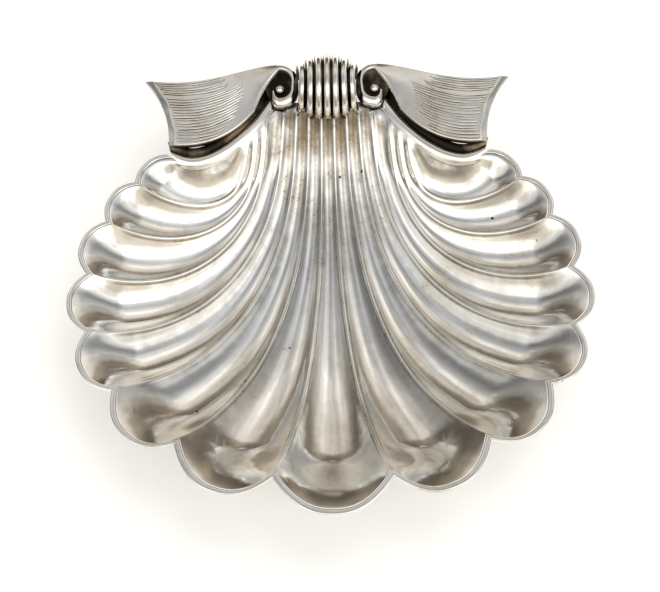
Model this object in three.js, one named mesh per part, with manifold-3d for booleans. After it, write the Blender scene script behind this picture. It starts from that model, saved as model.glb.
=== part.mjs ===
// Shell dish: a fluted scallop bowl with a rim wire, two engraved ears that end in scrolls,
// a knob bound by seven ribs at the hinge, and three ball feet.
// Millimetres, +Z up, +Y towards the hinge, symmetric about X = 0.
import * as THREE from 'three';
import { mergeVertices } from 'three/addons/utils/BufferGeometryUtils.js';
import Module from 'manifold-3d';

// Rim of the bowl, seen from above: junctions between lobes lie on two half ellipses
const RIM_HALF_WIDTH = 107.5;
const RIM_FRONT_REACH = 82;
const RIM_BACK_REACH = 96.5;
const LOBES_PER_SIDE = 7;
const CENTRE_LOBE_ANGLE = 27; // degrees of the ellipse that the front lobe takes
const LOBE_ANGLE_STEP = 2.3; // each lobe nearer the hinge takes this much less
const LOBE_BULGE = 0.345; // sagitta of the front lobe per length of its chord
const LOBE_BULGE_LOSS = 0.1; // the lobe next to an ear bulges this much less
const LOBE_FULLNESS = 2.4; // 2 is a parabola, more is rounder
const LOBE_ONSET = 6; // how late along a flute its lobe starts to bulge
const RIDGE_TURN = 0.92; // how far a ridge turns outwards per degree of the ellipse
const RIDGE_EARLY_TURN = 0.7; // added to that near the front
const RIDGE_EARLY_FADE = 45;

// Ridges between the flutes
const HINGE_PITCH = 5.8;
const HINGE_Y = 100;
const HINGE_RIDGES = 4; // ridges of each side that start at the hinge; the others start at the shoulder
const SHOULDER_FIRST_START = 0.16; // places along the shoulder where the other ridges start
const SHOULDER_START_STEP = 0.085;
const START_HANDLE = 0.55; // how long a ridge keeps its first direction
const START_HANDLE_GAIN = 0.2;
const END_HANDLE = 0.24;

// Heights and wall of the bowl
const RIM_HEIGHT = 44;
const BOWL_DEPTH = 27; // rim down to the lowest ridge
const BOWL_POWER = 2.4;
const FLUTE_DEPTH = 0.23; // per width of the flute
const FLUTE_RUNOUT = 0.16; // share of a flute over which it rises to the rim
const FLUTE_RUNIN = 8; // length over which a flute sinks in at its start
const BACK_WALL_REACH = 20; // the wall below the ears rises over this length
const WALL = 1.8;

// Shoulder of the bowl: a rolled band in front of each ear and the ledge that carries the ear
const SHOULDER_BEHIND_HINGE = 2; // it starts below the scroll
const SHOULDER_BEND = 11.5; // how far it keeps its first direction
const SHOULDER_DROP = 21.5;
const SHOULDER_END_HANDLE = 18.5;
const SHOULDER_END_TURN = 6; // how late it turns to the ear's corner
const SHOULDER_INNER = 1.2; // reach below the flutes
const SHOULDER_WIDTH = 8.5;
const BAND_WIDTH = 4.6;
const BAND_RISE = 1;

// Rim wire
const WIRE_WIDTH = 2.3;
const WIRE_HEIGHT = 2.6;
const WIRE_RAISE = 0.4; // above the rim
const NOTCH_STRETCH = 1.45; // mitre of the wire at the junctions

// Ears and scrolls, right side
const EAR_THICKNESS = 3;
const EAR_CORNER_OUT = 1.4; // lower corner beyond the last junction of the rim
const EAR_CORNER_BACK = 5.4;
const EAR_FLARE = 11.6; // tip beyond the lower corner
const EAR_HEIGHT = 33.8;
const EAR_TOP_SAG = 5.5; // hollow of the top edge
const EAR_LOWER_SAG = 3; // belly of the lower edge
const EAR_WAIST_OUT = 11.6; // from the scroll's eye to where the lower edge turns up
const EAR_WAIST_DROP = 11;
const SCROLL_FROM_RIBS = 10; // from the outermost rib's middle to the eye
const SCROLL_BEHIND_HINGE = 5;
const SCROLL_TOP = 13.2; // reach of the spiral from its eye
const SCROLL_INNER = 8.6;
const SCROLL_BOTTOM = 9.2;
const SCROLL_END = 4.4;
const SCROLL_TURNS = 0.68; // of a full turn, from the top through the inner side
const NECK_LIFT = 1;
const NECK_REACH = 0.62; // shares of an edge's span that its handles take
const TOP_TIP_HANDLE = 0.45;
const TOP_SCROLL_HANDLE = 0.25;
const LOWER_WAIST_HANDLE = 0.21;
const LOWER_WAIST_FALL = 0.65;
const LOWER_CORNER_HANDLE = 0.46;
const SIDE_HANDLE = 0.6;
const RIBBON_WIDTH = 4;
const RIBBON_BOTTOM_WIDTH = 4.6;
const RIBBON_END_WIDTH = 1.6;
const SCROLL_FLOOR = 1.2;
const BEAD_RADIUS = 2.1;
const BEAD_RISE = 1.4; // top of the bead above the ear
const BEAD_ROUNDING = 82; // degrees of its dome

// Knob and binding ribs
const KNOB_BEHIND_HINGE = 6.9;
const RIB_COUNT = 7;
const RIB_TIP_PITCH = 4;
const RIB_TOP_PITCH = 3.8;
const RIB_BACK_PITCH = 4.25;
const RIB_GAP = 0.75;
const RIB_THICKNESS = 2.4;
const KNOB_RADIUS = 16.3; // outer radius of the middle rib
const KNOB_SIDE_LOSS = 5.5; // the outermost rib is this much smaller
const RIB_TIP_RISE = 1.2; // above the rim
const RIB_BACK_DROP = 9;
const RIB_TIP_ROUNDING = 60; // degrees of the rounded front end
const CORE_LIP = 0.6; // least overhang of the core above the bowl

// Feet
const FOOT_RADIUS = 7;
const FOOT_PAD_RADIUS = 4.5;
const FOOT_BASE_RADIUS = 3.6;
const FOOT_COLLAR = 1; // straight neck below the bowl
const FRONT_FOOT_X = 32;
const FRONT_FOOT_Y = -28;
const BACK_FOOT_Y = 40;

const CLEARANCE = 0.3; // between neighbouring pieces

// Fineness of the mesh
const STEPS_ACROSS_FLUTE = 6;
const STEPS_ACROSS_SHOULDER = 10;
const STEPS_ALONG = 16;
const ROW_CROWDING = 1.35; // rows of the bowl lie closer near the rim
const TANGENT_STEP = 0.01;
const SECTION_SIDES = 8;
const ARCH_STEPS = 14;
const CORE_SLICES = 8;
const ROUND_STEPS = 20;
const DOME_STEPS = 4;
const TIP_STEPS = 2;
const PAD_RINGS = 3;
const SPIRAL_STEPS = 26;
const EDGE_STEPS = 10;

const SILVER = { color: 0xbdb9b0, roughness: 0.22, metalness: 1 };
const TARNISHED = { color: 0x6d665a, roughness: 0.4, metalness: 1 };

const wasm = await Module();
wasm.setup();

const mix = (a, b, t) => a + (b - a) * t;
const radians = (degrees) => (degrees * Math.PI) / 180;

// Places that several pieces share
const RIB_HALF_SPAN = (RIB_TIP_PITCH * (RIB_COUNT - 1)) / 2;
const RIB_TIP_HEIGHT = RIM_HEIGHT + RIB_TIP_RISE;
const KNOB_Y = HINGE_Y + KNOB_BEHIND_HINGE;
const SCROLL_X = RIB_HALF_SPAN + SCROLL_FROM_RIBS;
const SCROLL_Y = HINGE_Y + SCROLL_BEHIND_HINGE;
const EAR_BOTTOM = RIM_HEIGHT + Math.max(WIRE_RAISE, BAND_RISE) + CLEARANCE;

// Plan of the bowl

function junctionAngle(k) {
  let angle = CENTRE_LOBE_ANGLE / 2;
  for (let j = 1; j <= k; j += 1) {
    angle += CENTRE_LOBE_ANGLE - LOBE_ANGLE_STEP * j;
  }
  return angle;
}

function rimReach(y) {
  return y < 0 ? RIM_FRONT_REACH : RIM_BACK_REACH;
}

function junction(k) {
  const t = radians(junctionAngle(k));
  const y = -Math.cos(t);
  return new THREE.Vector2(RIM_HALF_WIDTH * Math.sin(t), rimReach(y) * y);
}

// Inner edge of the right shoulder, from beside the hinge to the last junction of the rim.
function shoulderCurve() {
  const start = new THREE.Vector2(SCROLL_X, HINGE_Y + SHOULDER_BEHIND_HINGE);
  const end = junction(LOBES_PER_SIDE);
  const leave = start.clone().add(new THREE.Vector2(SHOULDER_BEND, -SHOULDER_DROP));
  const arrive = end.clone().sub(ridgeEndDirection(LOBES_PER_SIDE).multiplyScalar(SHOULDER_END_HANDLE));
  return new THREE.CubicBezierCurve(start, leave, arrive, end);
}

// Place along the shoulder where ridge k starts.
function shoulderPlace(k) {
  return SHOULDER_FIRST_START + SHOULDER_START_STEP * (k - HINGE_RIDGES);
}

function ridgeStart(k) {
  if (k < HINGE_RIDGES) {
    return new THREE.Vector2(HINGE_PITCH * (k + 0.5), HINGE_Y);
  }
  return shoulder.getPoint(shoulderPlace(k));
}

function ridgeEndDirection(k) {
  const t = junctionAngle(k);
  const turn = radians(t * (RIDGE_TURN + RIDGE_EARLY_TURN * Math.exp(-t / RIDGE_EARLY_FADE)));
  return new THREE.Vector2(Math.sin(turn), -Math.cos(turn));
}

// Ridge k of the right half as a curve from the hinge to the rim.
function ridgeCurve(k) {
  const start = ridgeStart(k);
  const end = junction(k);
  const span = start.distanceTo(end);
  const hold = START_HANDLE + START_HANDLE_GAIN * (k / LOBES_PER_SIDE) ** 3;
  const leave = new THREE.Vector2(0, -1).multiplyScalar(span * hold);
  const arrive = ridgeEndDirection(k).multiplyScalar(span * END_HANDLE);
  return new THREE.CubicBezierCurve(start, start.clone().add(leave), end.clone().sub(arrive), end);
}

const shoulder = shoulderCurve();
const rightRidges = Array.from({ length: LOBES_PER_SIDE }, (_, k) => ridgeCurve(k));

// Ridges run from -8 (left shoulder) to 8 (right shoulder) without 0.
function ridge(n, u) {
  const k = Math.abs(n) - 1;
  if (k === LOBES_PER_SIDE) {
    const place = shoulder.getPoint(mix(shoulderPlace(k), 1, u));
    return new THREE.Vector3(Math.sign(n) * place.x, place.y, RIM_HEIGHT);
  }
  const point = rightRidges[k].getPoint(u);
  const basin = Math.hypot(point.x / RIM_HALF_WIDTH, point.y / rimReach(point.y));
  const wall = Math.max(0, 1 - (u * rightRidges[k].getLength()) / BACK_WALL_REACH) ** 2;
  const floor = RIM_HEIGHT - BOWL_DEPTH * (1 - Math.min(1, basin) ** BOWL_POWER);
  return new THREE.Vector3(Math.sign(n) * point.x, point.y, mix(floor, RIM_HEIGHT, wall));
}

// Share of a lobe's bulge across it, v from -1 to 1.
function lobeShare(v) {
  return 1 - Math.abs(v) ** LOBE_FULLNESS;
}

// Sagitta of lobe k.
function lobeBulge(chord, k) {
  return chord * (LOBE_BULGE - LOBE_BULGE_LOSS * (k / LOBES_PER_SIDE) ** 4);
}

// The flutes from left to right, each between two ridges.
function flutes() {
  const last = LOBES_PER_SIDE + 1;
  const pairs = [];
  for (let n = -last; n < last; n += 1) {
    if (n !== 0) {
      pairs.push({ from: n, to: n === -1 ? 1 : n + 1 });
    }
  }
  return pairs;
}

// Number of a flute's lobe, counted from the front one.
function lobeNumber(flute) {
  const crossing = flute.from < 0 && flute.to > 0;
  return crossing ? 0 : Math.min(Math.abs(flute.from), Math.abs(flute.to));
}

function flutePoint(flute, u, v) {
  const a = ridge(flute.from, u);
  const b = ridge(flute.to, u);
  const across = new THREE.Vector2(b.x - a.x, b.y - a.y);
  const chord = across.length();
  const point = a.clone().lerp(b, (v + 1) / 2);
  const swell = lobeBulge(chord, lobeNumber(flute)) * lobeShare(v) * u ** LOBE_ONSET;
  point.x += (across.y / chord) * swell;
  point.y += (-across.x / chord) * swell;
  const before = Math.max(0, u - TANGENT_STEP);
  const after = before + TANGENT_STEP;
  const along = ridge(flute.from, after).add(ridge(flute.to, after));
  along.sub(ridge(flute.from, before)).sub(ridge(flute.to, before)).setZ(0);
  const width = Math.abs(across.x * along.y - across.y * along.x) / along.length();
  const runout = THREE.MathUtils.smoothstep(1 - u, 0, FLUTE_RUNOUT);
  const runin = THREE.MathUtils.smoothstep(a.distanceTo(ridge(flute.from, 0)), 0, FLUTE_RUNIN);
  point.z -= FLUTE_DEPTH * width * (1 - v * v) * runout * runin;
  return point;
}

// One row of the bowl's upper surface, from left to right.
function bowlRow(u) {
  const row = [];
  for (const flute of flutes()) {
    for (let i = row.length ? 1 : 0; i <= STEPS_ACROSS_FLUTE; i += 1) {
      row.push(flutePoint(flute, u, (2 * i) / STEPS_ACROSS_FLUTE - 1));
    }
  }
  return row;
}

// Solids

// A closed solid through rings of points with equal counts; each end is zipped shut.
function loft(rings) {
  const count = rings[0].length;
  const corners = [];
  const quad = (a, b, c, d) => corners.push(a, b, c, a, c, d);
  for (let r = 0; r + 1 < rings.length; r += 1) {
    for (let i = 0; i < count; i += 1) {
      const j = (i + 1) % count;
      quad(rings[r][i], rings[r][j], rings[r + 1][j], rings[r + 1][i]);
    }
  }
  const first = rings[0];
  const last = rings[rings.length - 1];
  for (let i = 0; i + 1 < count / 2; i += 1) {
    quad(first[i], first[count - 1 - i], first[count - 2 - i], first[i + 1]);
    quad(last[i], last[i + 1], last[count - 2 - i], last[count - 1 - i]);
  }
  return outward(new THREE.BufferGeometry().setFromPoints(corners));
}

// Drops empty triangles, joins equal corners and turns the faces outwards.
function outward(geometry) {
  const joined = mergeVertices(geometry, 1e-4);
  const points = joined.getAttribute('position');
  const [a, b, c] = [new THREE.Vector3(), new THREE.Vector3(), new THREE.Vector3()];
  const kept = [];
  let volume = 0;
  for (let i = 0; i < joined.index.count; i += 3) {
    const face = [joined.index.getX(i), joined.index.getX(i + 1), joined.index.getX(i + 2)];
    if (new Set(face).size === 3) {
      kept.push(face);
      a.fromBufferAttribute(points, face[0]);
      b.fromBufferAttribute(points, face[1]);
      c.fromBufferAttribute(points, face[2]);
      volume += a.dot(b.cross(c));
    }
  }
  joined.setIndex(kept.flatMap((face) => (volume > 0 ? face : [face[0], face[2], face[1]])));
  joined.computeVertexNormals();
  return joined;
}

function solidOf(geometry) {
  const bare = new THREE.BufferGeometry();
  bare.setAttribute('position', geometry.getAttribute('position'));
  bare.setIndex(geometry.getIndex());
  const joined = outward(bare);
  const vertProperties = new Float32Array(joined.getAttribute('position').array);
  const triVerts = new Uint32Array(joined.index.array);
  return new wasm.Manifold(new wasm.Mesh({ numProp: 3, vertProperties, triVerts }));
}

function geometryOf(solid) {
  const mesh = solid.getMesh();
  const geometry = new THREE.BufferGeometry();
  geometry.setAttribute('position', new THREE.BufferAttribute(new Float32Array(mesh.vertProperties), 3));
  geometry.setIndex(Array.from(mesh.triVerts));
  geometry.computeVertexNormals();
  return geometry;
}

// A solid of revolution about Z from [radius, height] pairs, bottom first.
function turned(profile) {
  const rings = profile.map(([radius, height]) =>
    Array.from({ length: ROUND_STEPS }, (_, i) => {
      const angle = (2 * Math.PI * i) / ROUND_STEPS;
      return new THREE.Vector3(radius * Math.cos(angle), radius * Math.sin(angle), height);
    }),
  );
  return loft(rings);
}

function extruded(points, bottom, height) {
  const geometry = new THREE.ExtrudeGeometry(new THREE.Shape(points), {
    depth: height,
    bevelEnabled: false,
  });
  geometry.translate(0, 0, bottom);
  return geometry;
}

// Bowl

function flutedSheet() {
  const rings = [];
  for (let i = 0; i <= STEPS_ALONG; i += 1) {
    const u = 1 - (1 - i / STEPS_ALONG) ** ROW_CROWDING;
    const top = bowlRow(u);
    const bottom = top.map((point) => point.clone().setZ(point.z - WALL)).reverse();
    rings.push([...top, ...bottom]);
  }
  return loft(rings);
}

// Height of the shoulder at a distance from its inner edge: the band, a groove and the ledge below the ear.
function shoulderHeight(distance) {
  if (distance < BAND_WIDTH) {
    return RIM_HEIGHT + BAND_RISE * Math.sin((Math.PI * distance) / BAND_WIDTH);
  }
  const ledge = THREE.MathUtils.smoothstep(distance, BAND_WIDTH, SHOULDER_WIDTH - BAND_RISE);
  return RIM_HEIGHT + BAND_RISE * ledge;
}

// Direction across the shoulder, which turns to the ear's corner at its end.
function shoulderAcross(w) {
  const along = shoulder.getTangent(w);
  const corner = new THREE.Vector2(EAR_CORNER_OUT, EAR_CORNER_BACK).normalize();
  return new THREE.Vector2(-along.y, along.x).lerp(corner, w ** SHOULDER_END_TURN).normalize();
}

function rightShoulder() {
  const distances = [];
  for (let i = 0; i <= STEPS_ACROSS_SHOULDER; i += 1) {
    distances.push(mix(-SHOULDER_INNER, SHOULDER_WIDTH, i / STEPS_ACROSS_SHOULDER));
  }
  const rings = [];
  for (let i = 0; i <= STEPS_ALONG; i += 1) {
    const w = i / STEPS_ALONG;
    const point = shoulder.getPoint(w);
    const across = shoulderAcross(w);
    const top = distances.map((distance) => {
      const height = distance < 0 ? RIM_HEIGHT + distance : shoulderHeight(distance);
      return new THREE.Vector3(point.x + across.x * distance, point.y + across.y * distance, height);
    });
    const bottom = top.map((corner) => corner.clone().setZ(corner.z - WALL)).reverse();
    rings.push([...top, ...bottom]);
  }
  return loft(rings);
}

function shellBowl() {
  const right = rightShoulder();
  const sheet = solidOf(flutedSheet());
  return geometryOf(sheet.add(solidOf(right)).add(solidOf(mirrored(right))));
}

// Lowest point of the bowl's underside above a round pad.
function undersideAbove(bowl, x, y, radius) {
  const ray = new THREE.Raycaster(new THREE.Vector3(), new THREE.Vector3(0, 0, 1));
  const target = new THREE.Mesh(bowl, new THREE.MeshStandardMaterial({ side: THREE.DoubleSide }));
  let lowest = Infinity;
  for (let ring = 0; ring <= PAD_RINGS; ring += 1) {
    for (let i = 0; i < ROUND_STEPS; i += 1) {
      const angle = (2 * Math.PI * i) / ROUND_STEPS;
      const reach = (radius * ring) / PAD_RINGS;
      ray.ray.origin.set(x + reach * Math.cos(angle), y + reach * Math.sin(angle), -RIM_HEIGHT);
      const hit = ray.intersectObject(target)[0];
      lowest = hit ? Math.min(lowest, hit.point.z) : lowest;
    }
  }
  return lowest;
}

// Rim wire

// A point of the rim's edge, moved outwards by a margin.
function rimPoint(flute, v, margin) {
  const corner = (n) => {
    const direction = ridgeEndDirection(Math.abs(n) - 1).multiplyScalar(margin * NOTCH_STRETCH);
    const point = junction(Math.abs(n) - 1).add(direction);
    return point.setX(point.x * Math.sign(n));
  };
  const a = corner(flute.from);
  const b = corner(flute.to);
  const across = b.clone().sub(a);
  const chord = across.length();
  const swell = (lobeBulge(chord, lobeNumber(flute)) - margin * (NOTCH_STRETCH - 1)) * lobeShare(v);
  const point = a.clone().lerp(b, (v + 1) / 2);
  return point.add(new THREE.Vector2(across.y / chord, -across.x / chord).multiplyScalar(swell));
}

function rimWire() {
  const section = Array.from({ length: SECTION_SIDES }, (_, i) => {
    const angle = (2 * Math.PI * (i + 0.5)) / SECTION_SIDES;
    return [
      CLEARANCE + (WIRE_WIDTH / 2) * (1 + Math.cos(angle)),
      RIM_HEIGHT + WIRE_RAISE - (WIRE_HEIGHT / 2) * (1 - Math.sin(angle)),
    ];
  });
  const rings = [];
  for (const flute of flutes()) {
    for (let i = rings.length ? 1 : 0; i <= STEPS_ACROSS_FLUTE; i += 1) {
      const v = (2 * i) / STEPS_ACROSS_FLUTE - 1;
      rings.push(
        section.map(([margin, height]) => {
          const point = rimPoint(flute, v, margin);
          return new THREE.Vector3(point.x, point.y, height);
        }),
      );
    }
  }
  return loft(rings);
}

// Ears

// Reach of the scroll from its eye; turn runs from 0 at the top through the inner side and the bottom.
function scrollReach(turn) {
  if (turn < 0.25) {
    return mix(SCROLL_TOP, SCROLL_INNER, THREE.MathUtils.smoothstep(turn, 0, 0.25));
  }
  if (turn < 0.5) {
    return mix(SCROLL_INNER, SCROLL_BOTTOM, THREE.MathUtils.smoothstep(turn, 0.25, 0.5));
  }
  return mix(SCROLL_BOTTOM, SCROLL_END, THREE.MathUtils.smoothstep(turn, 0.5, SCROLL_TURNS));
}

function scrollPoint(turn, inset) {
  const reach = scrollReach(turn) - inset;
  const angle = 2 * Math.PI * turn;
  return new THREE.Vector2(SCROLL_X - reach * Math.sin(angle), SCROLL_Y + reach * Math.cos(angle));
}

function ribbonWidth(turn) {
  if (turn < 0.5) {
    return mix(RIBBON_WIDTH, RIBBON_BOTTOM_WIDTH, THREE.MathUtils.smoothstep(turn, 0.25, 0.5));
  }
  return mix(RIBBON_BOTTOM_WIDTH, RIBBON_END_WIDTH, THREE.MathUtils.smoothstep(turn, 0.5, SCROLL_TURNS));
}

function earOutline() {
  const corner = junction(LOBES_PER_SIDE).add(new THREE.Vector2(EAR_CORNER_OUT, EAR_CORNER_BACK));
  const tip = corner.clone().add(new THREE.Vector2(EAR_FLARE, EAR_HEIGHT));
  const waist = new THREE.Vector2(SCROLL_X + EAR_WAIST_OUT, SCROLL_Y - EAR_WAIST_DROP);
  const outer = [];
  const inner = [];
  for (let i = 0; i <= SPIRAL_STEPS; i += 1) {
    const turn = (SCROLL_TURNS * i) / SPIRAL_STEPS;
    outer.push(scrollPoint(turn, 0));
    inner.push(scrollPoint(turn, ribbonWidth(turn)));
  }
  const top = new THREE.CubicBezierCurve(
    tip,
    new THREE.Vector2(mix(tip.x, SCROLL_X, TOP_TIP_HANDLE), tip.y - EAR_TOP_SAG),
    new THREE.Vector2(mix(SCROLL_X, tip.x, TOP_SCROLL_HANDLE), outer[0].y),
    outer[0],
  );
  const neck = new THREE.QuadraticBezierCurve(
    inner[0],
    new THREE.Vector2(mix(SCROLL_X, waist.x, NECK_REACH), SCROLL_Y + NECK_LIFT),
    waist,
  );
  const lower = new THREE.CubicBezierCurve(
    waist,
    new THREE.Vector2(mix(waist.x, corner.x, LOWER_WAIST_HANDLE), mix(waist.y, corner.y, LOWER_WAIST_FALL)),
    new THREE.Vector2(mix(corner.x, waist.x, LOWER_CORNER_HANDLE), corner.y - EAR_LOWER_SAG),
    corner,
  );
  const bend = new THREE.Vector2(corner.x, mix(corner.y, tip.y, SIDE_HANDLE));
  const side = new THREE.QuadraticBezierCurve(corner, bend, tip);
  const edge = (curve) => curve.getPoints(EDGE_STEPS).slice(0, -1);
  const ribbon = [...outer, ...inner.reverse().slice(0, -1)];
  return [...edge(top), ...ribbon, ...edge(neck), ...edge(lower), ...edge(side)];
}

function rightEar() {
  const body = solidOf(extruded(earOutline(), EAR_BOTTOM, EAR_THICKNESS));
  const halfWidth = SCROLL_INNER - RIBBON_WIDTH / 2;
  const halfLength = (SCROLL_TOP + SCROLL_BOTTOM - RIBBON_WIDTH) / 2;
  const middle = SCROLL_Y + (SCROLL_TOP - SCROLL_BOTTOM) / 2;
  const edge = new THREE.EllipseCurve(SCROLL_X, middle, halfWidth, halfLength).getPoints(SPIRAL_STEPS);
  const floor = solidOf(extruded(edge.slice(0, -1), EAR_BOTTOM + SCROLL_FLOOR / 2, SCROLL_FLOOR / 2));
  return geometryOf(body.add(floor));
}

function mirrored(geometry) {
  const copy = geometry.clone();
  copy.scale(-1, 1, 1);
  return outward(copy.deleteAttribute('normal'));
}

function scrollBead() {
  const bottom = EAR_BOTTOM + SCROLL_FLOOR + CLEARANCE;
  const top = EAR_BOTTOM + EAR_THICKNESS + BEAD_RISE;
  const middle = top - BEAD_RADIUS;
  const profile = [[BEAD_RADIUS, bottom]];
  for (let i = 0; i <= DOME_STEPS; i += 1) {
    const angle = radians((BEAD_ROUNDING * i) / DOME_STEPS);
    profile.push([BEAD_RADIUS * Math.cos(angle), middle + BEAD_RADIUS * Math.sin(angle)]);
  }
  const bead = turned(profile);
  bead.translate(SCROLL_X, SCROLL_Y, 0);
  return bead;
}

// Knob and ribs

// Distance between ribs at an angle round the knob, from 0 at the back to a half turn at the tips.
function ribPitch(angle) {
  const end = Math.cos(angle) < 0 ? RIB_TIP_PITCH : RIB_BACK_PITCH;
  return mix(RIB_TOP_PITCH, end, Math.cos(angle) ** 2);
}

function ribRadius(x) {
  return KNOB_RADIUS - KNOB_SIDE_LOSS * (x / RIB_HALF_SPAN) ** 2;
}

// Half-round rib; place counts from the middle rib.
function bindingRib(place) {
  const rings = [];
  const addRing = (angle, drop, fullness) => {
    const x = place * ribPitch(angle);
    const width = ribPitch(angle) - RIB_GAP;
    const half = (width / 2) * fullness;
    const radius = ribRadius(Math.max(0, Math.abs(x) - width / 2));
    const ring = [];
    for (let i = 0; i < SECTION_SIDES; i += 1) {
      const turn = (Math.PI * i) / (SECTION_SIDES - 1);
      const out = radius - RIB_THICKNESS + RIB_THICKNESS * Math.sin(turn) * fullness;
      ring.push(
        new THREE.Vector3(
          x + half * Math.cos(turn),
          KNOB_Y + out * Math.cos(angle),
          RIB_TIP_HEIGHT + out * Math.sin(angle) - drop,
        ),
      );
    }
    rings.push(ring);
  };
  addRing(0, RIB_BACK_DROP, 1);
  for (let i = 0; i <= ARCH_STEPS; i += 1) {
    addRing((Math.PI * i) / ARCH_STEPS, 0, 1);
  }
  for (let i = 1; i <= TIP_STEPS; i += 1) {
    const rounding = radians((RIB_TIP_ROUNDING * i) / TIP_STEPS);
    addRing(Math.PI, ((RIB_TIP_PITCH - RIB_GAP) / 2) * Math.sin(rounding), Math.cos(rounding));
  }
  return loft(rings);
}

// The core below the ribs: a half-round body that is fullest in the middle.
function umboCore() {
  const half = SCROLL_X - SCROLL_INNER - CLEARANCE;
  const rings = [];
  for (let s = 0; s <= CORE_SLICES; s += 1) {
    const x = mix(-half, half, s / CORE_SLICES);
    const radius = ribRadius(x) - RIB_THICKNESS - CLEARANCE;
    const ring = [];
    for (let i = 0; i <= ARCH_STEPS; i += 1) {
      const angle = (Math.PI * i) / ARCH_STEPS;
      const height = RIB_TIP_HEIGHT + radius * Math.sin(angle);
      ring.push(new THREE.Vector3(x, KNOB_Y + radius * Math.cos(angle), height));
    }
    const step = Math.max(HINGE_Y + CLEARANCE, KNOB_Y - radius + CORE_LIP);
    const low = RIB_TIP_HEIGHT - RIB_BACK_DROP;
    ring.push(new THREE.Vector3(x, step, RIB_TIP_HEIGHT));
    ring.push(new THREE.Vector3(x, step, low));
    ring.push(new THREE.Vector3(x, KNOB_Y + radius, low));
    rings.push(ring);
  }
  return loft(rings);
}

// Feet

function ballFoot(bowl, x, y) {
  const height = undersideAbove(bowl, x, y, FOOT_PAD_RADIUS) - CLEARANCE;
  const middle = Math.sqrt(FOOT_RADIUS ** 2 - FOOT_BASE_RADIUS ** 2);
  const start = -Math.acos(FOOT_BASE_RADIUS / FOOT_RADIUS);
  const room = Math.min(1, (height - FOOT_COLLAR - middle) / FOOT_RADIUS);
  const end = Math.min(Math.acos(FOOT_PAD_RADIUS / FOOT_RADIUS), Math.asin(room));
  const profile = [];
  for (let i = 0; i <= 2 * DOME_STEPS; i += 1) {
    const angle = mix(start, end, i / (2 * DOME_STEPS));
    profile.push([FOOT_RADIUS * Math.cos(angle), middle + FOOT_RADIUS * Math.sin(angle)]);
  }
  profile.push([FOOT_PAD_RADIUS, height]);
  const foot = turned(profile);
  foot.translate(x, y, 0);
  return foot;
}

// Assembly

function addPiece(group, name, geometry, look) {
  const mesh = new THREE.Mesh(geometry, new THREE.MeshStandardMaterial(look));
  mesh.name = name;
  group.add(mesh);
}

function shellDish() {
  const dish = new THREE.Group();
  dish.name = 'shell_dish';
  const bowl = shellBowl();
  const ear = rightEar();
  const bead = scrollBead();
  addPiece(dish, 'shell_bowl', bowl, SILVER);
  addPiece(dish, 'rim_wire', rimWire(), SILVER);
  addPiece(dish, 'ear_right', ear, SILVER);
  addPiece(dish, 'ear_left', mirrored(ear), SILVER);
  addPiece(dish, 'scroll_bead_right', bead, SILVER);
  addPiece(dish, 'scroll_bead_left', mirrored(bead), SILVER);
  addPiece(dish, 'umbo_core', umboCore(), TARNISHED);
  for (let i = 0; i < RIB_COUNT; i += 1) {
    addPiece(dish, `binding_rib_${i + 1}`, bindingRib(i - (RIB_COUNT - 1) / 2), SILVER);
  }
  addPiece(dish, 'foot_front_right', ballFoot(bowl, FRONT_FOOT_X, FRONT_FOOT_Y), SILVER);
  addPiece(dish, 'foot_front_left', ballFoot(bowl, -FRONT_FOOT_X, FRONT_FOOT_Y), SILVER);
  addPiece(dish, 'foot_back', ballFoot(bowl, 0, BACK_FOOT_Y), SILVER);
  return dish;
}

// The origin lies on the table below the middle of the dish.
function centred(dish) {
  const middle = new THREE.Box3().setFromObject(dish).getCenter(new THREE.Vector3());
  for (const piece of dish.children) {
    piece.position.y = -middle.y;
  }
  return dish;
}

export default centred(shellDish());
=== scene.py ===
"""Shell dish in worn polished silver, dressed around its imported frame.

Shape values are in millimetres and become metres when a mesh is made.
"""
import math

import bpy
import numpy as np
from mathutils import Matrix, Vector


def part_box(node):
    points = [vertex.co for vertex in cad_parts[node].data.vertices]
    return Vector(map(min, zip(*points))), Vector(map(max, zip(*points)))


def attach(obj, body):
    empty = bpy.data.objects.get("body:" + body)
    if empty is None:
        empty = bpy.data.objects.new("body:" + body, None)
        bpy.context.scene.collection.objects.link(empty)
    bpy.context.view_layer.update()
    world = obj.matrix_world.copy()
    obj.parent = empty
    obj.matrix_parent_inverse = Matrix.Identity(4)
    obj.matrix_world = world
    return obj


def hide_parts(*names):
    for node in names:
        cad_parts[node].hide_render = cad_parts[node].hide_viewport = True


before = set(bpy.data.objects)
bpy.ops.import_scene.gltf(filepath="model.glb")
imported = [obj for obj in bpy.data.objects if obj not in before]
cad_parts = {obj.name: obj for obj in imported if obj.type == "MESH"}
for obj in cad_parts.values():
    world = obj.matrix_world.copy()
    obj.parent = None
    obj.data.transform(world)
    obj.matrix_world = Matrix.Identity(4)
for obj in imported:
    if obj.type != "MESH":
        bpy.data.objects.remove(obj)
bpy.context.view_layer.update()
METRES = 0.001

# Rim of the bowl, seen from above
RIM_HALF_WIDTH = 107.5
RIM_FRONT_REACH = 82.0
RIM_BACK_REACH = 96.5
LOBES_PER_SIDE = 7
CENTRE_LOBE_ANGLE = 27.0
LOBE_ANGLE_STEP = 2.3
LOBE_BULGE = 0.345
LOBE_BULGE_LOSS = 0.1
LOBE_FULLNESS = 2.4
LOBE_ONSET = 6
RIDGE_TURN = 0.92
RIDGE_EARLY_TURN = 0.7
RIDGE_EARLY_FADE = 45.0

# Ridges between the flutes
HINGE_PITCH = 5.8
HINGE_Y = 100.0
HINGE_RIDGES = 4
SHOULDER_FIRST_START = 0.16
SHOULDER_START_STEP = 0.085
START_HANDLE = 0.55
START_HANDLE_GAIN = 0.2
END_HANDLE = 0.24

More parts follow.
